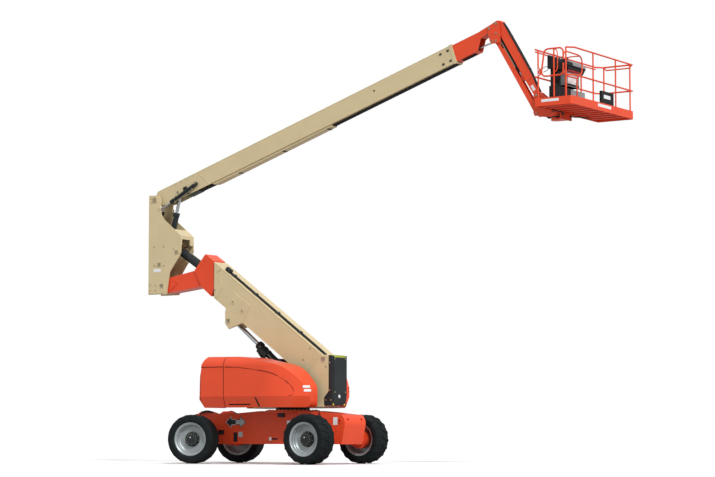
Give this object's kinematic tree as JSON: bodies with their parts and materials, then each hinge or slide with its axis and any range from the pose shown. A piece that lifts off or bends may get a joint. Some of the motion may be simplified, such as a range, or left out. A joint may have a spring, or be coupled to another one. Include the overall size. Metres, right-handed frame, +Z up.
{
  "type": "articulating boom lift",
  "caption": "Self-propelled articulating boom lift: turntable on a four-wheel chassis, telescopic tower boom, upright, telescopic main boom, jib and railed work platform.",
  "frame": {"origin": "on the ground below the middle of the whole length, on the centre line", "axes": "+X towards the platform end (fixed axle), +Y to the left of that, +Z up"},
  "size_m": [10.92, 2.627, 8.727],
  "materials": {
    "orange": "satin orange paint",
    "tan": "satin cream paint",
    "black_paint": "satin black paint",
    "silver_paint": "satin silver paint",
    "orange_moulding": "moulded orange cover",
    "chrome_rod": "polished rod",
    "pin_steel": "zinc plated",
    "engine_grey": "cast",
    "black_plastic": "matt",
    "tyre": "ribbed tread"
  },
  "bodies": {
    "chassis": {"chassis_frame": "orange", "drive_axle": "orange", "steer_axle": "orange", "swing_bearing": "black_paint"},
    "steer_left": {"steer_knuckle_left": "orange"},
    "steer_right": {"steer_knuckle_right": "orange"},
    "turntable": {"turntable_frame": "tan", "turntable_pins": "pin_steel", "counterweight": "black_paint", "engine_end_cover": "orange_moulding", "tank_end_cover": "orange_moulding", "engine_block": "engine_grey", "tank_block": "black_plastic", "bay_walls": "black_paint"},
    "engine_hood": {"engine_hood": "orange_moulding"},
    "tank_hood": {"tank_hood": "orange_moulding"},
    "tower_base": {"tower_base": "tan", "tower_lug_pins": "pin_steel"},
    "tower_fly": {"tower_fly": "tan", "tower_head": "orange"},
    "upright": {"upright": "tan", "upright_pins": "pin_steel"},
    "tower_lift_barrel": {"tower_lift_barrel": "black_paint"},
    "tower_lift_rod": {"tower_lift_rod": "chrome_rod"},
    "level_barrel": {"level_barrel": "black_paint"},
    "level_rod": {"level_rod": "chrome_rod"},
    "main_lift_barrel": {"main_lift_barrel": "black_paint"},
    "main_lift_rod": {"main_lift_rod": "chrome_rod"},
    "main_base": {"main_base": "tan", "main_base_pins": "pin_steel"},
    "main_fly": {"main_fly": "orange"},
    "master_barrel": {"master_barrel": "black_paint"},
    "master_rod": {"master_rod": "chrome_rod"},
    "jib_knuckle": {"jib_knuckle": "orange", "knuckle_pins": "pin_steel"},
    "slave_barrel": {"slave_barrel": "black_paint"},
    "slave_rod": {"slave_rod": "chrome_rod"},
    "jib_tube": {"jib_tube": "orange"},
    "jib_link": {"jib_link": "orange"},
    "jib_lift_barrel": {"jib_lift_barrel": "black_paint"},
    "jib_lift_rod": {"jib_lift_rod": "chrome_rod"},
    "jib_foot": {"jib_foot": "orange", "jib_foot_pins": "pin_steel"},
    "platform": {"platform_mount": "orange", "platform_floor": "orange", "platform_rails": "orange", "control_console": "black_plastic"},
    "entry_gate": {"entry_gate": "orange"},
    "wheel_front_left": {"tyre_front_left": "tyre", "rim_front_left": "silver_paint", "hub_front_left": "black_paint"},
    "wheel_front_right": {"tyre_front_right": "tyre", "rim_front_right": "silver_paint", "hub_front_right": "black_paint"},
    "wheel_rear_left": {"tyre_rear_left": "tyre", "rim_rear_left": "silver_paint", "hub_rear_left": "black_paint"},
    "wheel_rear_right": {"tyre_rear_right": "tyre", "rim_rear_right": "silver_paint", "hub_rear_right": "black_paint"}
  },
  "joints": [
    {"name": "swing", "type": "hinge", "parent": "chassis", "child": "turntable", "pos_m": [-1.78, 0, 1.165], "axis": [0, 0, 1], "continuous": true},
    {"name": "steer_right", "type": "hinge", "parent": "chassis", "child": "steer_right", "pos_m": [-3.735, -0.59, 0.508], "axis": [0, 0, 1], "range_deg": [-50, 16]},
    {"name": "steer_left", "type": "hinge", "parent": "chassis", "child": "steer_left", "pos_m": [-3.735, 0.59, 0.508], "axis": [0, 0, 1], "range_deg": [-50, 16]},
    {"name": "wheel_front_left", "type": "hinge", "parent": "chassis", "child": "wheel_front_left", "pos_m": [-0.685, 0.99, 0.508], "axis": [0, 1, 0], "continuous": true},
    {"name": "wheel_rear_left", "type": "hinge", "parent": "steer_left", "child": "wheel_rear_left", "pos_m": [-3.85195, 0.97252, 0.508], "axis": [-0.2924, 0.9563, 0], "continuous": true},
    {"name": "wheel_front_right", "type": "hinge", "parent": "chassis", "child": "wheel_front_right", "pos_m": [-0.685, -0.99, 0.508], "axis": [0, 1, 0], "continuous": true},
    {"name": "wheel_rear_right", "type": "hinge", "parent": "steer_right", "child": "wheel_rear_right", "pos_m": [-3.61805, -0.97252, 0.508], "axis": [-0.2924, 0.9563, 0], "continuous": true},
    {"name": "engine_hood", "type": "hinge", "parent": "turntable", "child": "engine_hood", "pos_m": [-2.21, -0.38, 2.186], "axis": [-1, 0, 0], "range_deg": [0, 60]},
    {"name": "tank_hood", "type": "hinge", "parent": "turntable", "child": "tank_hood", "pos_m": [-2.21, 0.38, 2.186], "axis": [1, 0, 0], "range_deg": [0, 60]},
    {"name": "tower_lift", "type": "hinge", "parent": "turntable", "child": "tower_base", "pos_m": [-0.84, 0, 2.13], "axis": [0, 1, 0], "range_deg": [-36, 36]},
    {"name": "tower_extend", "type": "slide", "parent": "tower_base", "child": "tower_fly", "axis": [-0.809, 0, 0.5878], "range_m": [0, 1.8]},
    {"name": "upright_tilt", "type": "hinge", "parent": "tower_fly", "child": "upright", "pos_m": [-5.08, 0, 3.78], "axis": [0, 1, 0], "range_deg": [-36, 36]},
    {"name": "main_lift", "type": "hinge", "parent": "upright", "child": "main_base", "pos_m": [-5.3, 0, 5.65], "axis": [0, -1, 0], "range_deg": [-18.45, 56.55]},
    {"name": "main_extend", "type": "slide", "parent": "main_base", "child": "main_fly", "axis": [0.9486, 0, 0.3165], "range_m": [0, 6]},
    {"name": "knuckle_level", "type": "hinge", "parent": "main_fly", "child": "jib_knuckle", "pos_m": [3.02, 0, 8.57], "axis": [0, -1, 0], "range_deg": [-56.55, 18.45]},
    {"name": "jib_lift", "type": "hinge", "parent": "jib_knuckle", "child": "jib_tube", "pos_m": [3.18, 0, 8.655], "axis": [0, -1, 0], "range_deg": [0, 130]},
    {"name": "jib_link", "type": "hinge", "parent": "jib_knuckle", "child": "jib_link", "pos_m": [3.178, 0, 8.31], "axis": [0, -1, 0], "range_deg": [0, 130]},
    {"name": "jib_foot_level", "type": "hinge", "parent": "jib_tube", "child": "jib_foot", "pos_m": [4.05804, 0, 7.16438], "axis": [0, -1, 0], "range_deg": [-130, 0]},
    {"name": "platform_rotate", "type": "hinge", "parent": "jib_foot", "child": "platform", "pos_m": [4.45, 0, 6.88], "axis": [0, 0, 1], "range_deg": [-90, 90]},
    {"name": "entry_gate", "type": "hinge", "parent": "platform", "child": "entry_gate", "pos_m": [4.758, -1.21, 7.3], "axis": [0, 0, 1], "range_deg": [0, 50]},
    {"name": "tower_lift_barrel", "type": "hinge", "parent": "turntable", "child": "tower_lift_barrel", "pos_m": [-1.27, 0, 1.35], "axis": [0, -1, 0], "range_deg": [-34.4, 34.4]},
    {"name": "tower_lift_rod", "type": "slide", "parent": "tower_lift_barrel", "child": "tower_lift_rod", "axis": [-0.7767, 0, 0.6299], "range_m": [-0.5287, 0.5287]},
    {"name": "level_barrel", "type": "hinge", "parent": "upright", "child": "level_barrel", "pos_m": [-4.69, 0, 4.5], "axis": [0, -1, 0], "range_deg": [-35.09, 35.09]},
    {"name": "level_rod", "type": "slide", "parent": "level_barrel", "child": "level_rod", "axis": [0.8412, 0, -0.5408], "range_m": [-0.4888, 0.4888]},
    {"name": "main_lift_barrel", "type": "hinge", "parent": "upright", "child": "main_lift_barrel", "pos_m": [-5.16, 0, 4.25], "axis": [0, -1, 0], "range_deg": [-4.59, 13.05]},
    {"name": "main_lift_rod", "type": "slide", "parent": "main_lift_barrel", "child": "main_lift_rod", "axis": [0.2499, 0, 0.9683], "range_m": [-0.1261, 0.3825]},
    {"name": "master_barrel", "type": "hinge", "parent": "main_base", "child": "master_barrel", "pos_m": [-4.23, -0.16, 5.95], "axis": [0, -1, 0], "range_deg": [-3.03, 1.33]},
    {"name": "master_rod", "type": "slide", "parent": "master_barrel", "child": "master_rod", "axis": [-0.8829, 0, -0.4696], "range_m": [-0.0724, 0.2177]},
    {"name": "slave_barrel", "type": "hinge", "parent": "main_fly", "child": "slave_barrel", "pos_m": [2.26036, 0, 8.10908], "axis": [0, -1, 0], "range_deg": [-2.63, 7.02]},
    {"name": "slave_rod", "type": "slide", "parent": "slave_barrel", "child": "slave_rod", "axis": [0.969, 0, 0.247], "range_m": [-0.2151, 0.0715]},
    {"name": "jib_lift_barrel", "type": "hinge", "parent": "jib_knuckle", "child": "jib_lift_barrel", "pos_m": [3.18, 0, 8.455], "axis": [0, -1, 0], "range_deg": [-0.5, 129.16]},
    {"name": "jib_lift_rod", "type": "slide", "parent": "jib_lift_barrel", "child": "jib_lift_rod", "axis": [0.5087, 0, -0.8609], "range_m": [-0.002, 0.3632]}
  ],
  "couplings": [
    {"joint": "steer_left", "follows": "steer_right", "ratio": 1},
    {"joint": "upright_tilt", "follows": "tower_lift", "ratio": -1},
    {"joint": "knuckle_level", "follows": "main_lift", "ratio": -1},
    {"joint": "jib_link", "follows": "jib_lift", "ratio": 1},
    {"joint": "jib_foot_level", "follows": "jib_lift", "ratio": -1},
    {"joint": "tower_lift_barrel", "follows": "tower_lift", "ratio": -0.9418},
    {"joint": "tower_lift_rod", "follows": "tower_lift", "m_per_rad": 0.8382},
    {"joint": "level_barrel", "follows": "tower_lift", "ratio": -0.9608},
    {"joint": "level_rod", "follows": "tower_lift", "m_per_rad": 0.7747},
    {"joint": "main_lift_barrel", "follows": "main_lift", "ratio": 0.2219},
    {"joint": "main_lift_rod", "follows": "main_lift", "m_per_rad": 0.3855},
    {"joint": "master_barrel", "follows": "main_lift", "ratio": -0.0448},
    {"joint": "master_rod", "follows": "main_lift", "m_per_rad": 0.2185},
    {"joint": "slave_barrel", "follows": "main_lift", "ratio": 0.1153},
    {"joint": "slave_rod", "follows": "main_lift", "m_per_rad": -0.2159},
    {"joint": "jib_lift_barrel", "follows": "jib_lift", "ratio": 0.9897},
    {"joint": "jib_lift_rod", "follows": "jib_lift", "m_per_rad": 0.1592}
  ]
}
